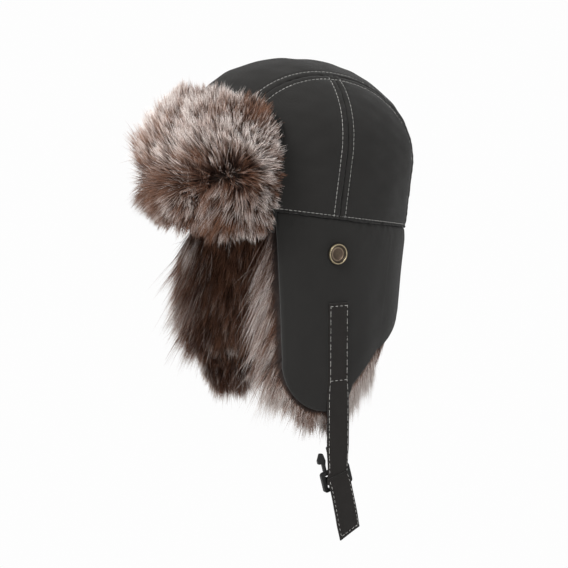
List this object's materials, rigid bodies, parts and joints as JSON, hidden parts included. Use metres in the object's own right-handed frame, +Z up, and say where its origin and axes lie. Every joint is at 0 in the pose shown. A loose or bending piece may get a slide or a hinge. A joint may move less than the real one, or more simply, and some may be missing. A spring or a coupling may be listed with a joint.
{
  "type": "trapper hat",
  "caption": "Padded trapper hat with a fold-down fur visor, folding fur-lined ear flaps and neck guard, snaps, and a chin strap with a side-release buckle.",
  "frame": {"origin": "centre of the head band's outer ellipse, on the plane of the seam between the crown and the flaps", "axes": "+Z up, -Y out through the forehead, +X towards the wearer's left; the head band leans back 8 degrees about X"},
  "size_m": [0.208, 0.2474, 0.3981],
  "materials": {
    "antique_brass": "aged",
    "buckle_plastic": "moulded",
    "fur": "long pile",
    "lining": "quilted",
    "outer_cloth": "brushed",
    "strap_cloth": "brushed",
    "wadding": "soft"
  },
  "bodies": {
    "crown": {"crown_left_front_panel": "outer_cloth", "crown_left_front_wadding": "wadding", "crown_left_rear_panel": "outer_cloth", "crown_left_rear_wadding": "wadding", "crown_lining": "lining", "crown_right_front_panel": "outer_cloth", "crown_right_front_wadding": "wadding", "crown_right_rear_panel": "outer_cloth", "crown_right_rear_wadding": "wadding", "crown_top_panel": "outer_cloth", "crown_top_wadding": "wadding", "band_seam_welt": "outer_cloth", "brow_band": "fur"},
    "visor_middle": {"visor_middle_cloth": "outer_cloth", "visor_middle_fur": "fur", "visor_middle_wadding": "wadding"},
    "visor_left_wing": {"visor_left_wing_cloth": "outer_cloth", "visor_left_wing_fur": "fur", "visor_left_wing_wadding": "wadding"},
    "visor_right_wing": {"visor_right_wing_cloth": "outer_cloth", "visor_right_wing_fur": "fur", "visor_right_wing_wadding": "wadding"},
    "left_ear": {"left_ear_cloth": "outer_cloth", "left_ear_fur": "fur", "left_ear_snap_cap": "antique_brass", "left_ear_snap_socket": "antique_brass", "left_ear_strap_sewn": "strap_cloth", "left_ear_wadding": "wadding"},
    "right_ear": {"right_ear_cloth": "outer_cloth", "right_ear_fur": "fur", "right_ear_snap_cap": "antique_brass", "right_ear_snap_socket": "antique_brass", "right_ear_strap_loop": "strap_cloth", "right_ear_wadding": "wadding"},
    "neck_middle": {"neck_middle_cloth": "outer_cloth", "neck_middle_fur": "fur", "neck_middle_wadding": "wadding"},
    "neck_left_wing": {"neck_left_wing_cloth": "outer_cloth", "neck_left_wing_fur": "fur", "neck_left_wing_wadding": "wadding"},
    "neck_right_wing": {"neck_right_wing_cloth": "outer_cloth", "neck_right_wing_fur": "fur", "neck_right_wing_wadding": "wadding"},
    "chin_strap_upper": {"strap_upper": "strap_cloth"},
    "chin_strap_lower": {"strap_lower": "strap_cloth"},
    "buckle": {"buckle_frame": "buckle_plastic"},
    "front_prong": {"buckle_front_prong": "buckle_plastic"},
    "rear_prong": {"buckle_rear_prong": "buckle_plastic"},
    "chin_strap_tail": {"strap_tail": "strap_cloth"},
    "housing": {"buckle_housing": "buckle_plastic"}
  },
  "joints": [
    {"name": "visor_fold", "type": "hinge", "parent": "crown", "child": "visor_middle", "pos_m": [0, -0.10763, -0.00204], "axis": [1, 0, 0], "range_deg": [0, 120]},
    {"name": "visor_left_flex", "type": "hinge", "parent": "visor_middle", "child": "visor_left_wing", "pos_m": [0.0474, -0.09588, 0.01348], "axis": [0, -0.1392, -0.9903], "range_deg": [0, 30]},
    {"name": "visor_right_flex", "type": "hinge", "parent": "visor_middle", "child": "visor_right_wing", "pos_m": [-0.0474, -0.09588, 0.01348], "axis": [0, 0.1392, 0.9903], "range_deg": [0, 30]},
    {"name": "left_ear_fold", "type": "hinge", "parent": "crown", "child": "left_ear", "pos_m": [0.09, 0, 0], "axis": [0, -0.9903, 0.1392], "range_deg": [0, 170]},
    {"name": "right_ear_fold", "type": "hinge", "parent": "crown", "child": "right_ear", "pos_m": [-0.09, 0, 0], "axis": [0, 0.9903, -0.1392], "range_deg": [0, 170]},
    {"name": "neck_fold", "type": "hinge", "parent": "crown", "child": "neck_middle", "pos_m": [0, 0.10596, -0.01489], "axis": [1, 0, 0], "range_deg": [0, 150]},
    {"name": "neck_left_flex", "type": "hinge", "parent": "neck_middle", "child": "neck_left_wing", "pos_m": [0.05787, 0.08662, -0.01217], "axis": [0, 0.1392, 0.9903], "range_deg": [0, 75]},
    {"name": "neck_right_flex", "type": "hinge", "parent": "neck_middle", "child": "neck_right_wing", "pos_m": [-0.05787, 0.08662, -0.01217], "axis": [0, -0.1392, -0.9903], "range_deg": [0, 75]},
    {"name": "chin_strap_lift", "type": "hinge", "parent": "left_ear", "child": "chin_strap_upper", "pos_m": [0.0903, -0.006, -0.1345], "axis": [0, 1, 0], "range_deg": [-150, 0]},
    {"name": "chin_strap_bend", "type": "hinge", "parent": "chin_strap_upper", "child": "chin_strap_lower", "pos_m": [0.0895, -0.006, -0.1825], "axis": [0, -1, 0], "range_deg": [-70, 60]},
    {"name": "buckle_tilt", "type": "hinge", "parent": "chin_strap_lower", "child": "buckle", "pos_m": [0.0868, -0.006, -0.2145], "axis": [0, -0.9659, -0.2588], "range_deg": [0, 40]},
    {"name": "strap_tail_swing", "type": "hinge", "parent": "buckle", "child": "chin_strap_tail", "pos_m": [0.0922, -0.00496, -0.21836], "axis": [0, -0.9659, -0.2588], "range_deg": [0, 50]},
    {"name": "front_prong_flex", "type": "hinge", "parent": "buckle", "child": "front_prong", "pos_m": [0.0868, -0.01689, -0.20862], "axis": [-1, 0, 0], "range_deg": [0, 8], "stiffness_Nm_per_rad": 0.05},
    {"name": "rear_prong_flex", "type": "hinge", "parent": "buckle", "child": "rear_prong", "pos_m": [0.0868, 0.00049, -0.20396], "axis": [1, 0, 0], "range_deg": [0, 8], "stiffness_Nm_per_rad": 0.05},
    {"name": "buckle_housing_swing", "type": "hinge", "parent": "right_ear", "child": "housing", "pos_m": [-0.0922, -0.006, -0.0965], "axis": [0, -1, 0], "range_deg": [-120, 0]}
  ],
  "couplings": [
    {"joint": "visor_left_flex", "follows": "visor_fold", "ratio": 0.25},
    {"joint": "visor_right_flex", "follows": "visor_fold", "ratio": 0.25},
    {"joint": "neck_left_flex", "follows": "neck_fold", "ratio": 0.5},
    {"joint": "neck_right_flex", "follows": "neck_fold", "ratio": 0.5}
  ]
}
